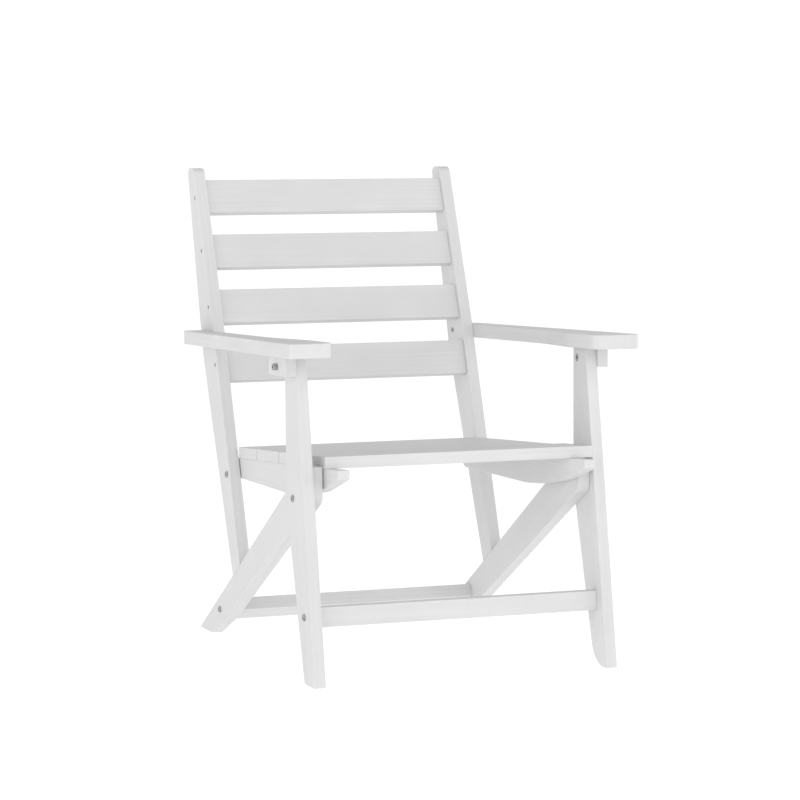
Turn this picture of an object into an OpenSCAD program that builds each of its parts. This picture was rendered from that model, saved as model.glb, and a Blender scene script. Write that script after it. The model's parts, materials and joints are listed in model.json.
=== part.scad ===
// Adirondack garden chair: flat-cut boards bolted together.
// Millimetres, +Z up, the sitter faces -Y, +X is the chair's left hand side.
// The origin is on the floor under the middle of the bounding box.

/* [Boards] */
// Thickness of the back uprights and the rear legs
side_t = 22; // [18:0.5:24]
// Thickness of the front legs
leg_t = 21.5; // [18:0.5:24]
// Thickness of the seat side rails
rail_t = 21; // [18:0.5:24]
// Thickness of the blocks under the armrests
cleat_t = 20; // [18:0.5:24]
// Thickness of the back slats
back_t = 18; // [14:0.5:22]
// Thickness of the seat slats
seat_t = 21; // [18:0.5:24]
// Thickness of the armrests
arm_t = 26; // [22:0.5:30]
// Distance between the inner faces of the back uprights
clear_w = 488; // [440:1:540]

/* [Back] */
// Height of the tops of the uprights
back_h = 892; // [860:1:920]
// Rearward lean of the front edge above the arms, run per unit rise
lean_top = 0.390; // [0.36:0.005:0.42]
// Rearward lean of the front edge below the arms, run per unit rise
lean_low = 0.341; // [0.32:0.005:0.36]
// Width of each back slat
slat_w = 67.2; // [60:0.1:75]
// Setback of the slats from the front edge of the uprights
slat_set = 7; // [2:0.5:12]

/* [Seat] */
// Height of the front edge of the seat
seat_h = 395.4; // [390:0.2:400]
// Depth of the seat from front edge to rear edge
seat_d = 489; // [480:1:493]
// Drop of the seat toward the back, fall per unit run
seat_tilt = 0.0552; // [0.04:0.0002:0.06]
// Distance from one seat slat to the next
seat_pitch = 128; // [118:1:130]
// Gap between neighbouring seat slats
seat_gap = 2.5; // [2:0.5:6]

/* [Arms] */
// Height of the top of the armrest at its front end
arm_h = 598; // [585:1:605]
// Overhang of the armrest past its block at the front
arm_over = 21.5; // [12:0.5:30]
// Width of the armrest at its rear end
arm_rear_w = 39.5; // [30:0.5:45]

/* [Feet] */
// Heel radius of the front leg on the +X side
heel_pos = 52; // [4:1:52]
// Heel radius of the front leg on the -X side
heel_neg = 10; // [4:1:52]

/* [Hidden] */
$fn = 40;
// clearance between boards that meet, and of a fastener in its hole
fit = 0.1;
play = 0.4;
// how far a cutting shape runs past the face that it cuts
over = 1;
// plan distance from the drawing datum to the middle of the bounding box
mid_y = 72.5;

// layers of boards, counted out from the middle plane
in_x = clear_w / 2;
side_x = in_x + side_t;
leg_x = side_x + leg_t;
cleat_x = leg_x + cleat_t;
spacer_t = 1.5;
rail_out = in_x - spacer_t;
rail_in = rail_out - rail_t;

// uprights: both edges change direction near the height of the arms
front_kink = arm_h - 8;
rear_kink = arm_h - 63;
front_kink_y = 311.6;
upright_w = 86.7;
taper_top = 0.1333;
taper_low = 0.0886;
top_front_r = 16;
top_rear_r = 12;

// rear legs: straight boards that fall toward the back
leg_fall_up = 0.609;
leg_fall_low = 0.5585;
leg_up_z = 253.9;
leg_low_z = 177;
foot_front_y = 340;
foot_rear_y = 409;
foot_top_y = 244;
tip_y = -247;
tip_r = 20;
// height of the cut on the free tip of the -X rear leg
tip_cut_z = seat_h - 18.4;

// front legs: slanting blades that widen above the knee
blade_y = -319.4;
blade_slope = 0.1624;
heel_y = -266;
heel_slope = 0.2893;
knee_y = -174;
knee_z = 318;
knee_r = 60;

// seat rails
belly_z = seat_h - 85.4;
rail_tip_y = -322.5;
rail_rear_y = 255;
seat_front = -259;
// lower edge of the rail's tip, measured from the front of the seat
tip_lift = [0, 51];
tip_run = [94, 21];
tip_start = [184, 6];

// armrests
arm_tilt = -0.0225;
arm_front = -322.8;
arm_rear = 378;
arm_flare = 20;
arm_flare_ys = [-190, -40];
arm_inner_r = 170;
arm_corner_r = 28;

// blocks under the armrests
cleat_front = -234.5;
cleat_rear = -143.5;
cleat_low = arm_h - 64;

// fastener sizes: shank, head diameter, head height, and the width of the head's socket
screw = [4, 8, 3];
bolt = [6, 12, 2.5];
cap_bolt = [6, 12, 7.5];
arm_bolt = [5, 8, 2];
hex_d = 6.6;
small_hex_d = 4.6;
// share of a head's height that its socket takes
socket_share = 0.65;
// depth of a sunk head below its board
sunk = 0.5;
// distances of the head tops from the middle plane, the bolts' heads stand on their boards
slat_head_x = side_x - sunk;
side_head_x = side_x + bolt[2] + fit;
leg_head_x = leg_x + bolt[2] + fit;
cleat_head_x = cleat_x + cap_bolt[2] + fit;
arm_head_x = in_x - arm_bolt[2] - fit;
dowel_d = 8;
dowel_depth = 14;
spacer_d = 13;
nut_h = 5.5;
nut_d = 14;
slat_screw_l = 51.5;
seat_screw_l = 42;
arm_screw_l = 46;
rail_bolt_l = side_head_x - rail_in - 3;
leg_bolt_l = leg_head_x - in_x - 3;
cleat_bolt_l = cleat_head_x - side_x - 4;
arm_bolt_l = side_t + 23;
front_bolt_l = leg_head_x - side_x + 40;
rear_bolt_l = side_head_x - in_x + 40;

// fixing points in the side view, run and height
rail_bolt_p = [235, belly_z + 7];
leg_bolt_p = [-212, 320];
cleat_bolt_p = [-189, cleat_low + 16];
arm_bolt_p = [359, arm_h - 27.5];
front_bolt_p = [-268.5, 117.5];
rear_bolt_p = [286, 53];
dowel_ps = [[-240, seat_h - 41], [-200, seat_h - 50]];
arm_screw_ys = [-212, -166];

// stretchers, depth and height of the section
front_bar = [20, 35];
rear_bar = [48, 25];
rear_bar_fall = 0.56;

// ---- edges in the side view --------------------------------------------

// front and rear edges of an upright at height z
function up_front(z) =
  front_kink_y + (z - front_kink) * (z > front_kink ? lean_top : lean_low);
function up_rear(z) =
  up_front(rear_kink) + upright_w
  + (z - rear_kink) * (z > rear_kink ? lean_top - taper_top : lean_low + taper_low);
// upper and lower edges of a rear leg at run y
function leg_up(y) = leg_up_z - leg_fall_up * y;
function leg_low(y) = leg_low_z - leg_fall_low * y;
// run at which the upper edge of a rear leg has height z
function leg_up_y(z) = (leg_up_z - z) / leg_fall_up;
// front and rear edges of a front leg at height z
function blade_front(z) = blade_y + blade_slope * z;
function blade_rear(z) = z > knee_z ? knee_y : heel_y + heel_slope * z;
// top and underside of the armrest at run y
function arm_top(y) = arm_h + (y - arm_front) * arm_tilt;
function arm_under(y) = arm_top(y) - arm_t;
// top and underside of the seat at run y
function seat_top(y) = seat_h - (y - seat_front) * seat_tilt;
function seat_under(y) = seat_top(y) - seat_t;

// ---- profile helpers -----------------------------------------------------

function unit(v) = v / norm(v);

// points of an arc about c, angles in degrees
function arc(c, r, a0, a1, n) =
  [for (i = [0:n]) let (a = a0 + (a1 - a0) * i / n) c + r * [cos(a), sin(a)]];

// points that round the corner at p, coming from a and going to b
function corner(a, p, b, r, n = 7) =
  let (u = unit(a - p), v = unit(b - p), h = acos(u * v) / 2)
  let (c = p + unit(u + v) * r / sin(h), s = p + u * r / tan(h), e = p + v * r / tan(h))
  let (a0 = atan2(s[1] - c[1], s[0] - c[0]), a1 = atan2(e[1] - c[1], e[0] - c[0]))
  let (d = a1 - a0, turn = d > 180 ? d - 360 : d < -180 ? d + 360 : d)
  arc(c, r, a0, a0 + turn, n);

// closed profile with a radius at every corner, radius 0 leaves it sharp
function rounded(p, r) =
  let (n = len(p))
  [for (i = [0:n - 1])
    for (q = r[i] > 0 ? corner(p[(i + n - 1) % n], p[i], p[(i + 1) % n], r[i]) : [p[i]]) q];

// corners of a bar's section about c, its depth along u
function bar_section(c, size, u) =
  let (d = unit(u) * size[0] / 2, h = [-unit(u)[1], unit(u)[0]] * size[1] / 2)
  [c - d - h, c + d - h, c + d + h, c - d + h];

// a board standing in the YZ plane between two distances from the middle plane
module side_board(x0, x1, pts) {
  translate([x0, -mid_y, 0])
    rotate([90, 0, 90])
      linear_extrude(x1 - x0)
        polygon(pts);
}

// a round hole or rod along X at a point of the side view
module rod_x(x0, x1, d, p) {
  translate([x0, p[0] - mid_y, p[1]])
    rotate([0, 90, 0])
      cylinder(h = x1 - x0, d = d);
}

// repeats a +X side part on the -X side
module both_sides() {
  children();
  mirror([1, 0, 0]) children();
}

// ---- fasteners -------------------------------------------------------------

// a fastener below the origin, which is the top of its socket head
module fastener(size, len, hex) {
  socket = size[2] * socket_share;
  difference() {
    union() {
      translate([0, 0, -len]) cylinder(h = len - (size[2] + socket) / 2, d = size[0]);
      translate([0, 0, -size[2]]) cylinder(h = size[2], d = size[1]);
    }
    translate([0, 0, -socket]) cylinder(h = size[2], d = hex, $fn = 6);
  }
}

// the hole for a fastener's shank
module shaft(size, len) {
  translate([0, 0, -len - over]) cylinder(h = len + 2 * over, d = size[0] + play);
}

// the hole for a fastener with a sunk head
module bore(size, len) {
  shaft(size, len);
  translate([0, 0, -size[2] - play / 2]) cylinder(h = size[2] + 5, d = size[1] + play);
}

// puts a fastener or its hole at a point of the side view, the top of its head facing out at x
module facing_out(x, p) {
  translate([x, p[0] - mid_y, p[1]])
    rotate([0, 90, 0])
      children();
}

// the same with the head facing the middle plane
module facing_in(x, p) {
  translate([x, p[0] - mid_y, p[1]])
    rotate([0, -90, 0])
      children();
}

module slat_screws() {
  color("silver")
    both_sides()
      for (i = [0:slat_n - 1])
        facing_out(slat_head_x, slat_fix(i)) fastener(screw, slat_screw_l, small_hex_d);
}

module rail_bolts() {
  color("silver")
    both_sides()
      facing_out(side_head_x, rail_bolt_p) fastener(bolt, rail_bolt_l, hex_d);
}

module rail_spacers() {
  color("dimgray")
    both_sides()
      difference() {
        rod_x(rail_out + fit, in_x - fit, spacer_d, rail_bolt_p);
        rod_x(rail_out - over, in_x + over, bolt[0] + play, rail_bolt_p);
      }
}

module leg_bolts() {
  color("silver")
    both_sides()
      facing_out(leg_head_x, leg_bolt_p) fastener(bolt, leg_bolt_l, hex_d);
}

module cleat_bolts() {
  color("silver")
    both_sides()
      facing_out(cleat_head_x, cleat_bolt_p) fastener(cap_bolt, cleat_bolt_l, hex_d);
}

module cleat_nuts() {
  color("silver")
    both_sides()
      difference() {
        rod_x(side_x + sunk, side_x + sunk + nut_h, nut_d, cleat_bolt_p);
        rod_x(side_x, side_x + sunk + nut_h + over, bolt[0] + play, cleat_bolt_p);
      }
}

module arm_bolts() {
  color("silver")
    both_sides()
      facing_in(arm_head_x, arm_bolt_p) fastener(arm_bolt, arm_bolt_l, small_hex_d);
}

module arm_screws() {
  color("silver")
    both_sides()
      at_arm_screws() fastener(screw, arm_screw_l, small_hex_d);
}

module seat_screws() {
  color("silver")
    both_sides()
      for (k = [0:seat_n - 1])
        at_seat_screws(k) fastener(screw, seat_screw_l, small_hex_d);
}

module front_stretcher_bolts() {
  color("silver")
    both_sides()
      facing_out(leg_head_x, front_bolt_p) fastener(bolt, front_bolt_l, hex_d);
}

module rear_stretcher_bolts() {
  color("silver")
    both_sides()
      facing_out(side_head_x, rear_bolt_p) fastener(bolt, rear_bolt_l, hex_d);
}

module rail_dowels() {
  color("burlywood")
    both_sides()
      for (p = dowel_ps)
        rod_x(rail_out - dowel_depth, in_x + dowel_depth, dowel_d, p);
}

// ---- seat --------------------------------------------------------------------

seat_n = 4;
seat_a = atan(seat_tilt);
// width of slat k, the rear one takes what depth is left
function seat_w(k) = k < seat_n - 1 ? seat_pitch - seat_gap : seat_d / cos(seat_a) - k * seat_pitch;
seat_half = in_x - 0.5;
seat_screw_x = (rail_in + rail_out) / 2;

// puts children on the sloping seat plane at slat k, Y measured back from its front edge
module on_seat(k) {
  translate([0, seat_front - mid_y, seat_h])
    rotate([-seat_a, 0, 0])
      translate([0, k * seat_pitch, 0])
        children();
}

// puts children at both screws on the +X end of seat slat k
module at_seat_screws(k) {
  on_seat(k)
    for (f = [0.27, 0.73])
      translate([seat_screw_x, seat_w(k) * f, -sunk])
        children();
}

// slat k counted from the front, its +X end at x_end
module seat_slat(k, x_end = seat_half) {
  color("white")
    difference() {
      on_seat(k)
        translate([-seat_half, 0, -seat_t])
          cube([seat_half + x_end, seat_w(k), seat_t]);
      both_sides()
        at_seat_screws(k) bore(screw, seat_screw_l);
    }
}

module seat_rail() {
  belly_front = seat_front + tip_start[0] + 15;
  color("white")
    difference() {
      side_board(rail_in, rail_out, rounded(
        [[rail_tip_y, seat_under(rail_tip_y) - fit],
         [rail_tip_y, belly_z + tip_lift[1]],
         [seat_front + 33, belly_z + tip_run[1]],
         [seat_front + 123, belly_z + tip_start[1]],
         [belly_front, belly_z],
         [rail_rear_y, belly_z],
         [rail_rear_y, seat_under(rail_rear_y) - fit]],
        [2, 6, 160, 260, 300, 18, 12]));
      facing_out(side_head_x, rail_bolt_p) shaft(bolt, rail_bolt_l);
      for (p = dowel_ps)
        rod_x(rail_out - dowel_depth - sunk, rail_out + over, dowel_d + play, p);
      for (k = [0:seat_n - 1])
        at_seat_screws(k) bore(screw, seat_screw_l);
    }
}

// ---- back ----------------------------------------------------------------------

slat_n = 4;
slat_drop = 22.6;
slat_pitch = 104.25;
// the lowest slat stands below the change of lean, a little further down
slat_extra = 3.05;
function slat_lean(i) = i < slat_n - 1 ? lean_top : lean_low;
function slat_z(i) = back_h - slat_drop - i * slat_pitch - (i < slat_n - 1 ? 0 : slat_extra);
// directions along and through slat i, counted from the top
function slat_dir(i) = unit([slat_lean(i), 1]);
function slat_nrm(i) = [slat_dir(i)[1], -slat_dir(i)[0]];
// upper front edge and centre of slat i
function slat_edge(i) = [up_front(slat_z(i)) + slat_set / slat_dir(i)[1], slat_z(i)];
function slat_mid(i) = slat_edge(i) - slat_dir(i) * slat_w / 2 + slat_nrm(i) * back_t / 2;
// fixing point of slat i, set a little above its centre
slat_fix_up = [0, 4, 1.5, 1];
function slat_fix(i) = slat_mid(i) + slat_dir(i) * slat_fix_up[i];

module back_slat(i) {
  color("white")
    difference() {
      side_board(-in_x + fit, in_x - fit,
        bar_section(slat_mid(i), [back_t, slat_w], slat_nrm(i)));
      both_sides()
        facing_out(slat_head_x, slat_fix(i)) bore(screw, slat_screw_l);
    }
}

// runs at which the edges of an upright meet the rear leg
mitre_front_y = (front_kink_y + lean_low * (leg_up_z - front_kink)) / (1 + lean_low * leg_fall_up);
rear_low = lean_low + taper_low;
mitre_rear_y = (up_rear(rear_kink) + rear_low * (leg_up_z - rear_kink)) / (1 + rear_low * leg_fall_up);

module upright() {
  color("white")
    difference() {
      side_board(in_x, side_x - fit, rounded(
        [[mitre_front_y, leg_up(mitre_front_y) + fit],
         [mitre_rear_y, leg_up(mitre_rear_y) + fit],
         [up_rear(rear_kink), rear_kink],
         [up_rear(back_h), back_h],
         [up_front(back_h), back_h],
         [up_front(front_kink), front_kink]],
        [0, 0, 160, top_rear_r, top_front_r, 400]));
      for (i = [0:slat_n - 1])
        facing_out(slat_head_x, slat_fix(i)) bore(screw, slat_screw_l);
      facing_out(side_head_x, rail_bolt_p) shaft(bolt, rail_bolt_l);
      facing_in(arm_head_x, arm_bolt_p) shaft(arm_bolt, arm_bolt_l);
    }
}

// ---- legs ------------------------------------------------------------------------

// the free tip is cut level at cut_z, with its front corners rounded
module rear_leg(cut_z) {
  color("white")
    difference() {
      side_board(in_x, side_x - fit, rounded(
        [[tip_y, cut_z],
         [tip_y, leg_low(tip_y)],
         [foot_top_y, leg_low(foot_top_y)],
         [foot_front_y, 0],
         [foot_rear_y, 0],
         [foot_rear_y, leg_up(foot_rear_y)],
         [leg_up_y(cut_z), cut_z]],
        [3, tip_r, 60, 3, 0, 3, 6]));
      facing_out(leg_head_x, leg_bolt_p) shaft(bolt, leg_bolt_l);
      facing_out(side_head_x, rear_bolt_p) shaft(bolt, rear_bolt_l);
      for (p = dowel_ps)
        rod_x(in_x - over, in_x + dowel_depth + sunk, dowel_d + play, p);
    }
}

module front_leg(heel_r) {
  front_z = arm_under(blade_front(arm_h - arm_t));
  rear_z = arm_under(knee_y);
  color("white")
    difference() {
      side_board(side_x, leg_x - fit, rounded(
        [[blade_front(front_z), front_z - fit],
         [blade_front(0), 0],
         [blade_rear(0), 0],
         [knee_y, knee_z],
         [knee_y, rear_z - fit]],
        [0, 3, heel_r, knee_r, 0]));
      facing_out(leg_head_x, leg_bolt_p) shaft(bolt, leg_bolt_l);
      facing_out(leg_head_x, front_bolt_p) shaft(bolt, front_bolt_l);
      rod_x(side_x - over, leg_x + over, bolt[0] + play, cleat_bolt_p);
      rod_x(side_x - over, side_x + nut_h + 2 * sunk, nut_d + play, cleat_bolt_p);
    }
}

// ---- stretchers --------------------------------------------------------------------

module front_stretcher() {
  color("white")
    difference() {
      side_board(-side_x + fit, side_x - fit, bar_section(front_bolt_p, front_bar, [1, 0]));
      both_sides()
        facing_out(leg_head_x, front_bolt_p) shaft(bolt, front_bolt_l);
    }
}

module rear_stretcher() {
  color("white")
    difference() {
      side_board(-in_x + fit, in_x - fit,
        bar_section(rear_bolt_p, rear_bar, [1, -rear_bar_fall]));
      both_sides()
        facing_out(side_head_x, rear_bolt_p) shaft(bolt, rear_bolt_l);
    }
}

// ---- arms ----------------------------------------------------------------------------

// plan shape of the +X armrest, run along Y
arm_x = cleat_x + arm_over;
arm_in = side_x + fit;
arm_plan = rounded(
  [[arm_x, arm_front],
   [side_x + arm_rear_w, arm_rear],
   [arm_in, arm_rear],
   [arm_in, arm_flare_ys[1]],
   [side_x - arm_flare, arm_flare_ys[0]],
   [side_x - arm_flare, arm_front]],
  [9, 6, 3, arm_inner_r, arm_inner_r, arm_corner_r]);

// puts children under a block, at both of its upright screws, heads down
module at_arm_screws() {
  for (y = arm_screw_ys)
    translate([cleat_x - cleat_t / 2, y - mid_y, cleat_low + sunk])
      mirror([0, 0, 1])
        children();
}

module armrest() {
  color("white")
    difference() {
      translate([0, arm_front - mid_y, arm_h])
        rotate([atan(arm_tilt), 0, 0])
          translate([0, -arm_front, -arm_t])
            linear_extrude(arm_t)
              polygon(arm_plan);
      facing_in(arm_head_x, arm_bolt_p) shaft(arm_bolt, arm_bolt_l);
      at_arm_screws() bore(screw, arm_screw_l);
    }
}

module arm_cleat() {
  color("white")
    difference() {
      side_board(leg_x, cleat_x, rounded(
        [[cleat_front, cleat_low],
         [cleat_rear, cleat_low],
         [cleat_rear, arm_under(cleat_rear) - fit],
         [cleat_front, arm_under(cleat_front) - fit]],
        [3, 3, 0, 0]));
      facing_out(cleat_head_x, cleat_bolt_p) shaft(cap_bolt, cleat_bolt_l);
      at_arm_screws() bore(screw, arm_screw_l);
    }
}

// ---- nodes -----------------------------------------------------------------------------

upright();  // left_upright
mirror([1, 0, 0]) upright();  // right_upright
back_slat(0);  // back_slat_1
back_slat(1);  // back_slat_2
back_slat(2);  // back_slat_3
back_slat(3);  // back_slat_4
// the +X rear leg ends under the front seat slat, which runs out over it
rear_leg(seat_h - seat_t - 4.4);  // left_rear_leg
mirror([1, 0, 0]) rear_leg(tip_cut_z);  // right_rear_leg
front_leg(heel_pos);  // left_front_leg
mirror([1, 0, 0]) front_leg(heel_neg);  // right_front_leg
seat_rail();  // left_seat_rail
mirror([1, 0, 0]) seat_rail();  // right_seat_rail
seat_slat(0, side_x - 0.5);  // seat_slat_1
seat_slat(1);  // seat_slat_2
seat_slat(2);  // seat_slat_3
seat_slat(3);  // seat_slat_4
armrest();  // left_armrest
mirror([1, 0, 0]) armrest();  // right_armrest
arm_cleat();  // left_arm_cleat
mirror([1, 0, 0]) arm_cleat();  // right_arm_cleat
front_stretcher();
rear_stretcher();
slat_screws();
seat_screws();
rail_bolts();
rail_spacers();
leg_bolts();
cleat_bolts();
cleat_nuts();
arm_bolts();
arm_screws();
front_stretcher_bolts();
rear_stretcher_bolts();
rail_dowels();
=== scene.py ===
"""White painted garden armchair: eased boards, brushed paint over wood grain, satin steel heads.

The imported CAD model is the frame: every board and fastener stays where it is and keeps its mesh.
This script rounds the cut edges with modifiers, gives every node its material, and sets up a
plain pale studio. Metres; +X is the sitter's left, the sitter faces -Y, +Z is up.
"""

import json
import math

import bpy
from mathutils import Matrix, Vector


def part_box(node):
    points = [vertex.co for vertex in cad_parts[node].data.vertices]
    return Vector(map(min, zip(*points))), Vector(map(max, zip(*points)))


MM = 0.001

# Camera: where it looks, how far away it stands, how it is turned, and its lens
CAM_TARGET = Vector((-0.0117, -0.0897, 0.4685))
CAM_DISTANCE = 5.624
CAM_AZIMUTH = -20.88
CAM_ELEVATION = 4.78
CAM_ROLL = -0.27
CAM_LENS = 137.8
CAM_SENSOR = 36.0
CAM_REACH = 200.0

# Boards: radius of the eased edges by kind of board, and how many steps it is cut into
EDGE_R = {
    "armrest": 2.0 * MM,
    "upright": 0.95 * MM,
    "leg": 1.3 * MM,
    "cleat": 0.95 * MM,
    "rail": 1.0 * MM,
    "slat": 0.8 * MM,
    "stretcher": 0.8 * MM,
}
EDGE_STEPS = 3

# Fasteners and dowels: the small round on a rim, and how many steps it is cut into
RIM_R = 0.35 * MM
RIM_STEPS = 2

# Before an edge is rounded: points nearer than WELD become one and faces flatter than FLAT_ANGLE
# become one; only edges sharper than SHARP_ANGLE are rounded
WELD = 0.01 * MM
FLAT_ANGLE = math.radians(0.5)
SHARP_ANGLE = math.radians(32)

# Grain: its direction in the slanting boards; in every other board it runs the longest way
GRAIN = {
    "upright": (0, 0.36, 1),
    "rear_leg": (0, 1, -0.585),
    "front_leg": (0, 0.16, 1),
}

# Each board is cut from its own place in one block of wood: the step from board to board along
# and across the grain, and the size of the block
BOARD_STEP = (1.37, 0.71, 0.39)
BLOCK = (3, 2, 2)

# Growth rings: their spacing, where the pith runs beside the grain's axis, and how far (in radians
# of the ring pattern) a slow and a quick noise push them about
RING_GAP = 9 * MM
PITH_Y = 0.015
PITH_Z = -0.16
RING_WANDER = 16.0
RING_SPREAD = 14.0

# Noise patterns: scale per metre (along the grain and across it both ways, or the same every
# way), detail, and roughness if it isn't the usual one
WANDER = ((1.6, 7, 7), 3.0)
SPREAD = ((0.8, 28, 28), 2.0)
COVER = ((3, 16, 16), 2.0)
FIBRE = ((10, 420, 420), 4.0, 0.6)
STROKE = ((3, 150, 150), 3.0, 0.55)
CLOUD = (9.0, 3.0)
BEECH_FIBRE = ((20, 600, 600), 4.0, 0.6)
STEEL_GRAIN = (1400.0, 3.0, 0.6)
STEEL_PATCH = (160.0, 2.0)
PLASTIC_GRAIN = (900.0, 3.0, 0.6)
FLOOR_GRAIN = (60.0, 3.0)

# Part of a noise's range that counts: by default, where the rings show through the paint, in the
# tone of the paint, and in the dull patches on steel
NOISE_SPAN = (0.3, 0.7)
COVER_SPAN = (0.42, 0.70)
TONE_SPAN = (0.30, 0.65)
PATCH_SPAN = (0.35, 0.65)

# Bump: depth of a pattern and how strongly it counts
RING_BUMP = (0.08 * MM, 0.6)
STROKE_BUMP = (0.18 * MM, 0.5)
FIBRE_BUMP = (0.10 * MM, 0.5)
BEECH_BUMP = (0.1 * MM, 0.5)
STEEL_BUMP = (0.03 * MM, 0.5)
PLASTIC_BUMP = (0.05 * MM, 0.4)

# Paint: light and dark colour, how rough and how glossy it is, and how much each pattern counts
# in its tone and in its roughness
PAINT = (0.695, 0.695, 0.695)
PAINT_LOW = (0.64, 0.64, 0.64)
PAINT_ROUGH = (0.46, 0.60)
PAINT_GLOSS = 0.3
RING_TONE = 0.15
STROKE_TONE = 0.35
CLOUD_TONE = 0.50
FIBRE_ROUGH = 0.6
CLOUD_ROUGH = 0.4

# Dowels, fasteners and spacers: dark and light colour, and how rough each is
BEECH = ((0.50, 0.33, 0.17), (0.68, 0.50, 0.30))
BEECH_ROUGH = 0.7
STEEL = ((0.36, 0.36, 0.365), (0.50, 0.50, 0.505))
STEEL_ROUGH = (0.30, 0.48)
PLASTIC = ((0.018, 0.018, 0.018), (0.035, 0.035, 0.036))
PLASTIC_ROUGH = (0.55, 0.7)

# Surround: its light straight up, what the horizon adds to that, and how quickly this fades
SKY_TOP = 0.46
SKY_HORIZON = 0.60
SKY_POWER = 1.1

# Floor: its own glow, its grey, how rough it is, its radius, and how its mesh is divided
FLOOR_GLOW = 0.86
FLOOR_PAINT = 0.30
FLOOR_ROUGH = (0.85, 0.95)
FLOOR_SIZE = 9.0
FLOOR_RINGS = 12
FLOOR_SPOKES = 96

# Soft boxes: where each one stands and its power, all aimed at the middle of the chair
BOX_SIZE = 2.6
BOX_AIM = (0.0, 0.0, 0.45)
BOXES = {
    "front": ((-0.6, -4.2, 2.6), 40.0),
    "right_hand": ((-4.6, -0.8, 1.3), 28.0),
    "left_hand": ((4.6, -0.8, 1.3), 36.0),
    "low_right": ((-3.2, -3.4, 0.8), 12.0),
    "low_left": ((3.2, -3.4, 0.8), 12.0),
}


# ---- node helpers ------------------------------------------------------------------------------


class Graph:
    """A short way to write a node tree: make a node, set its values, link its inputs."""

    def __init__(self, tree):
        self.tree = tree
        tree.nodes.clear()

    def add(self, kind, settings=None, **inputs):
        node = self.tree.nodes.new(kind)
        for key, value in (settings or {}).items():
            setattr(node, key, value)
        for key, value in inputs.items():
            self.put(node, key.replace("_", " "), value)
        return node

    def put(self, node, key, value):
        """Sets an input, given by its name or number, to a value or links another socket to it."""
        socket = node.inputs[key]
        if isinstance(value, bpy.types.NodeSocket):
            self.tree.links.new(value, socket)
        else:
            socket.default_value = value

    def place(self):
        return self.add("ShaderNodeTexCoord").outputs["Object"]

    def math(self, operation, a, b=0.0):
        node = self.add("ShaderNodeMath", {"operation": operation})
        self.put(node, 0, a)
        self.put(node, 1, b)
        return node.outputs[0]

    def total(self, *terms):
        """Adds up values, each times its weight."""
        result = None
        for value, weight in terms:
            product = self.math("MULTIPLY", value, weight)
            result = product if result is None else self.math("ADD", result, product)
        return result

    def noise(self, vector, scale, detail, roughness=0.5):
        node = self.add(
            "ShaderNodeTexNoise",
            Vector=vector, Scale=scale, Detail=detail, Roughness=roughness,
        )
        return node.outputs["Fac"]

    def mapping(self, vector, location=(0, 0, 0), rotation=(0, 0, 0), scale=(1, 1, 1)):
        node = self.add(
            "ShaderNodeMapping",
            Vector=vector, Location=location, Rotation=rotation, Scale=scale,
        )
        return node.outputs[0]

    def stretched(self, vector, scale, detail, roughness=0.5):
        """Noise whose scale differs along each axis."""
        return self.noise(self.mapping(vector, scale=scale), 1.0, detail, roughness)

    def remap(self, value, span, to=(0.0, 1.0)):
        node = self.add("ShaderNodeMapRange", Value=value)
        for key, number in zip(("From Min", "From Max", "To Min", "To Max"), (*span, *to)):
            self.put(node, key, number)
        return node.outputs[0]

    def blend(self, factor, a, b):
        """Mixes two colours; the node has sockets for other kinds of data between these."""
        node = self.add("ShaderNodeMix", {"data_type": "RGBA"})
        for key, value in ((0, factor), (6, a), (7, b)):
            self.put(node, key, value)
        return node.outputs[2]

    def bump(self, height, distance, strength, normal=None):
        node = self.add("ShaderNodeBump", Height=height, Distance=distance, Strength=strength)
        if normal is not None:
            self.put(node, "Normal", normal)
        return node.outputs[0]


def new_material(name):
    material = bpy.data.materials.new(name)
    material.use_nodes = True
    return material, Graph(material.node_tree)


def surface(graph, **inputs):
    shader = graph.add("ShaderNodeBsdfPrincipled", **inputs)
    graph.add("ShaderNodeOutputMaterial", Surface=shader.outputs[0])


def rgba(colour):
    return (*colour, 1.0)


# ---- materials ---------------------------------------------------------------------------------


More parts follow.
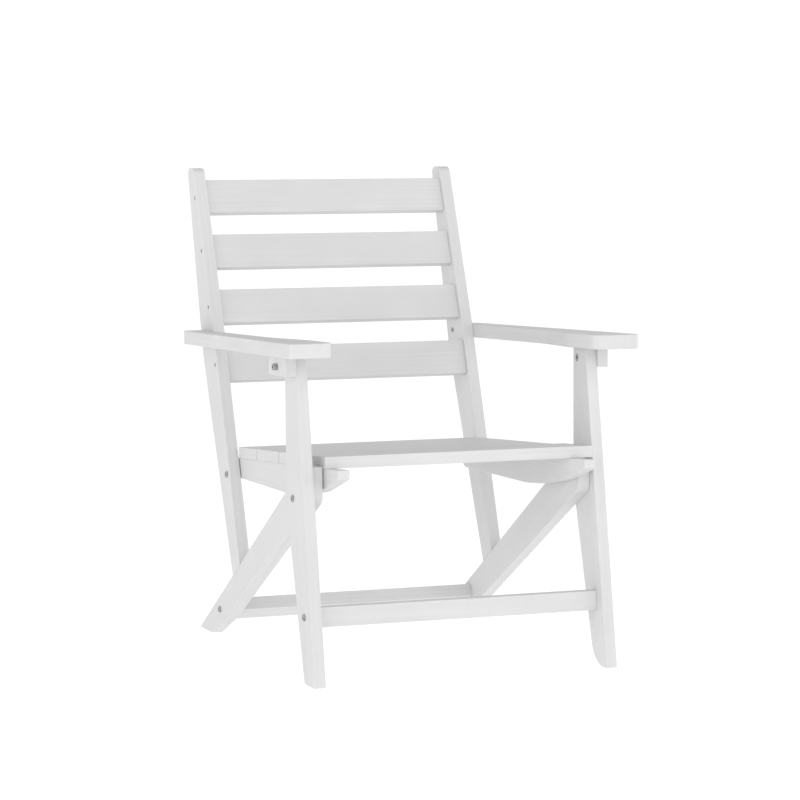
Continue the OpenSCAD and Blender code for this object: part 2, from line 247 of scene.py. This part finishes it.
def painted_wood(name, along, seed):
    """Brushed white paint on a board whose grain runs along a direction; the rings and the end
    grain come from one solid pattern, so they run on round every edge of the board."""
    material, g = new_material(name)
    turn = Vector(along).normalized().rotation_difference(Vector((1, 0, 0))).to_euler()
    shift = tuple(seed * step % size for step, size in zip(BOARD_STEP, BLOCK))
    wood = g.mapping(g.mapping(g.place(), rotation=turn), location=shift)

    # rings: distance from a wandering pith line folded into bands, faint where the paint is thick
    wander = g.stretched(wood, *WANDER)
    axes = g.add("ShaderNodeSeparateXYZ", Vector=wood)
    pith_y = g.math("SUBTRACT", axes.outputs["Y"], shift[1] + PITH_Y)
    pith_z = g.math("SUBTRACT", axes.outputs["Z"], shift[2] + PITH_Z)
    squares = g.math("ADD", g.math("POWER", pith_y, 2.0), g.math("POWER", pith_z, 2.0))
    radius = g.math("SQRT", squares)
    spread = g.stretched(wood, *SPREAD)
    bands = 2 * math.pi / RING_GAP
    ring = g.total((radius, bands), (wander, RING_WANDER), (spread, RING_SPREAD))
    cover = g.remap(g.stretched(wood, *COVER), COVER_SPAN)
    rings = g.math("MULTIPLY", g.remap(g.math("SINE", ring), (-1.0, 1.0)), cover)

    # fibres and the fine strokes that a brush leaves along the board
    fibre = g.stretched(wood, *FIBRE)
    stroke = g.stretched(wood, *STROKE)
    cloud = g.noise(wood, *CLOUD)

    tone = g.total((rings, RING_TONE), (stroke, STROKE_TONE), (cloud, CLOUD_TONE))
    colour = g.blend(g.remap(tone, TONE_SPAN), rgba(PAINT_LOW), rgba(PAINT))
    mottle = g.total((fibre, FIBRE_ROUGH), (cloud, CLOUD_ROUGH))
    rough = g.remap(mottle, NOISE_SPAN, PAINT_ROUGH)

    normal = g.bump(rings, *RING_BUMP)
    normal = g.bump(stroke, *STROKE_BUMP, normal)
    normal = g.bump(fibre, *FIBRE_BUMP, normal)
    surface(
        g,
        Base_Color=colour, Roughness=rough, Normal=normal, Specular_IOR_Level=PAINT_GLOSS,
    )
    return material


def bare_wood(name):
    """Unpainted beech of the dowels."""
    material, g = new_material(name)
    fibre = g.stretched(g.place(), *BEECH_FIBRE)
    dark, light = BEECH
    colour = g.blend(g.remap(fibre, NOISE_SPAN), rgba(dark), rgba(light))
    normal = g.bump(fibre, *BEECH_BUMP)
    surface(g, Base_Color=colour, Roughness=BEECH_ROUGH, Normal=normal)
    return material


def satin_steel(name):
    """Satin steel of the screws, bolts and nuts, dulled in patches."""
    material, g = new_material(name)
    place = g.place()
    grain = g.noise(place, *STEEL_GRAIN)
    patch = g.noise(place, *STEEL_PATCH)
    dark, light = STEEL
    colour = g.blend(g.remap(patch, PATCH_SPAN), rgba(dark), rgba(light))
    rough = g.remap(grain, NOISE_SPAN, STEEL_ROUGH)
    normal = g.bump(grain, *STEEL_BUMP)
    surface(g, Base_Color=colour, Metallic=1.0, Roughness=rough, Normal=normal)
    return material


def dark_plastic(name):
    """Matte black moulded plastic of the spacers."""
    material, g = new_material(name)
    grain = g.noise(g.place(), *PLASTIC_GRAIN)
    dark, light = PLASTIC
    colour = g.blend(grain, rgba(dark), rgba(light))
    rough = g.remap(grain, NOISE_SPAN, PLASTIC_ROUGH)
    normal = g.bump(grain, *PLASTIC_BUMP)
    surface(g, Base_Color=colour, Roughness=rough, Normal=normal)
    return material


# ---- boards and fasteners ----------------------------------------------------------------------


def dress(node, material):
    mesh = node.data
    mesh.materials.clear()
    mesh.materials.append(material)


def ease(node, radius, steps):
    """Rounds a CAD piece's sharp edges, once its triangles are merged into flat faces."""
    weld = node.modifiers.new("weld", "WELD")
    weld.merge_threshold = WELD
    flat = node.modifiers.new("flat", "DECIMATE")
    flat.decimate_type = "DISSOLVE"
    flat.angle_limit = FLAT_ANGLE
    edge = node.modifiers.new("edge", "BEVEL")
    edge.width = radius
    edge.segments = steps
    edge.limit_method = "ANGLE"
    edge.angle_limit = SHARP_ANGLE
    edge.use_clamp_overlap = False
    edge.loop_slide = False
    edge.harden_normals = True
    tidy = node.modifiers.new("tidy", "TRIANGULATE")
    tidy.keep_custom_normals = True


def grain_direction(name):
    low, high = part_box(name)
    size = high - low
    for kind, direction in GRAIN.items():
        if name.endswith(kind):
            return direction
    longest = max(range(3), key=lambda i: size[i])
    return tuple(1.0 if i == longest else 0.0 for i in range(3))


def finish_parts(frame):
    slots = {part["node"]: part["material_slot"] for part in frame["record"]["subparts"]}
    plain = {
        "steel": satin_steel("steel"),
        "spacer": dark_plastic("spacer"),
        "bare_wood": bare_wood("bare_wood"),
    }
    boards = sorted(name for name, slot in slots.items() if slot == "painted_wood")
    for seed, name in enumerate(boards, 1):
        node = frame["nodes"][name]
        radius = next(r for kind, r in EDGE_R.items() if kind in name)
        dress(node, painted_wood("paint_" + name, grain_direction(name), seed))
        ease(node, radius, EDGE_STEPS)
    for name in sorted(set(slots) - set(boards)):
        node = frame["nodes"][name]
        dress(node, plain[slots[name]])
        ease(node, RIM_R, RIM_STEPS)


# ---- studio ------------------------------------------------------------------------------------


def show(name, data):
    """Puts a new object with this data into the scene."""
    thing = bpy.data.objects.new(name, data)
    bpy.context.scene.collection.objects.link(thing)
    return thing


def add_camera():
    angles = (CAM_AZIMUTH, CAM_ELEVATION, CAM_ROLL)
    azimuth, elevation, roll = (math.radians(a) for a in angles)
    back = Vector((
        math.sin(azimuth) * math.cos(elevation),
        -math.cos(azimuth) * math.cos(elevation),
        math.sin(elevation),
    ))
    right = (-back).cross(Vector((0, 0, 1))).normalized()
    up = back.cross(right)
    side = right * math.cos(roll) + up * math.sin(roll)
    top = up * math.cos(roll) - right * math.sin(roll)
    data = bpy.data.cameras.new("camera")
    data.lens = CAM_LENS
    data.sensor_width = CAM_SENSOR
    data.clip_end = CAM_REACH
    camera = show("camera", data)
    turn = Matrix((side, top, back)).transposed().to_4x4()
    camera.matrix_world = Matrix.Translation(CAM_TARGET + back * CAM_DISTANCE) @ turn
    bpy.context.scene.camera = camera


def add_floor():
    """A white floor disc that glows, so that light comes up under the chair as from a pale room;
    its rings lie closest near the chair."""
    points = [(0.0, 0.0, 0.0)]
    faces = []
    for r in range(1, FLOOR_RINGS + 1):
        reach = FLOOR_SIZE * (r / FLOOR_RINGS) ** 2
        first = 1 + (r - 1) * FLOOR_SPOKES
        for s in range(FLOOR_SPOKES):
            angle = 2 * math.pi * s / FLOOR_SPOKES
            points.append((reach * math.cos(angle), reach * math.sin(angle), 0.0))
            here = first + s
            there = first + (s + 1) % FLOOR_SPOKES
            if r == 1:
                faces.append((0, here, there))
            else:
                faces.append((here - FLOOR_SPOKES, here, there, there - FLOOR_SPOKES))
    mesh = bpy.data.meshes.new("floor")
    mesh.from_pydata(points, [], faces)
    floor = show("floor", mesh)
    material, g = new_material("floor")
    rough = g.remap(g.noise(g.place(), *FLOOR_GRAIN), NOISE_SPAN, FLOOR_ROUGH)
    surface(
        g,
        Base_Color=rgba((FLOOR_PAINT,) * 3), Roughness=rough, Specular_IOR_Level=0.0,
        Emission_Color=rgba((1, 1, 1)), Emission_Strength=FLOOR_GLOW,
    )
    mesh.materials.append(material)


def add_surround():
    """White light all round that falls off toward the zenith, so that level tops stand darkest."""
    world = bpy.data.worlds.new("surround")
    world.use_nodes = True
    bpy.context.scene.world = world
    g = Graph(world.node_tree)
    direction = g.add("ShaderNodeTexCoord").outputs["Generated"]
    height = g.add("ShaderNodeSeparateXYZ", Vector=direction).outputs["Z"]
    depth = g.math("SUBTRACT", 1.0, g.math("MAXIMUM", height, 0.0))
    glow = g.math("MULTIPLY", g.math("POWER", depth, SKY_POWER), SKY_HORIZON)
    strength = g.math("ADD", glow, SKY_TOP)
    shader = g.add("ShaderNodeBackground", Strength=strength, Color=rgba((1, 1, 1)))
    g.add("ShaderNodeOutputWorld", Surface=shader.outputs[0])


def add_soft_box(name, place, power):
    data = bpy.data.lights.new(name, "AREA")
    data.shape = "SQUARE"
    data.size = BOX_SIZE
    data.energy = power
    light = show(name, data)
    light.location = place
    light.rotation_mode = "QUATERNION"
    light.rotation_quaternion = (Vector(BOX_AIM) - Vector(place)).to_track_quat("-Z", "Y")


def add_studio():
    add_camera()
    add_floor()
    add_surround()
    for name, (place, power) in BOXES.items():
        add_soft_box(name, place, power)
    view = bpy.context.scene.view_settings
    view.view_transform = "Standard"
    view.look = "None"


# ---- the scene ---------------------------------------------------------------------------------

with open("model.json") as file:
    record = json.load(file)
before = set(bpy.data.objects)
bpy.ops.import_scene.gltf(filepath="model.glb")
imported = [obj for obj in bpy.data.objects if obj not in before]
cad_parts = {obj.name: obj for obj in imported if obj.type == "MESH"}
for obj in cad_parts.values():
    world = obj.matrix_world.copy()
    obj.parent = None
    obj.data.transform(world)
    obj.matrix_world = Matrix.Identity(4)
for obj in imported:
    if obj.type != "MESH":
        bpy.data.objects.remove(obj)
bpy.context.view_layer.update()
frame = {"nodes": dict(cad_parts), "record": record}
finish_parts(frame)
add_studio()
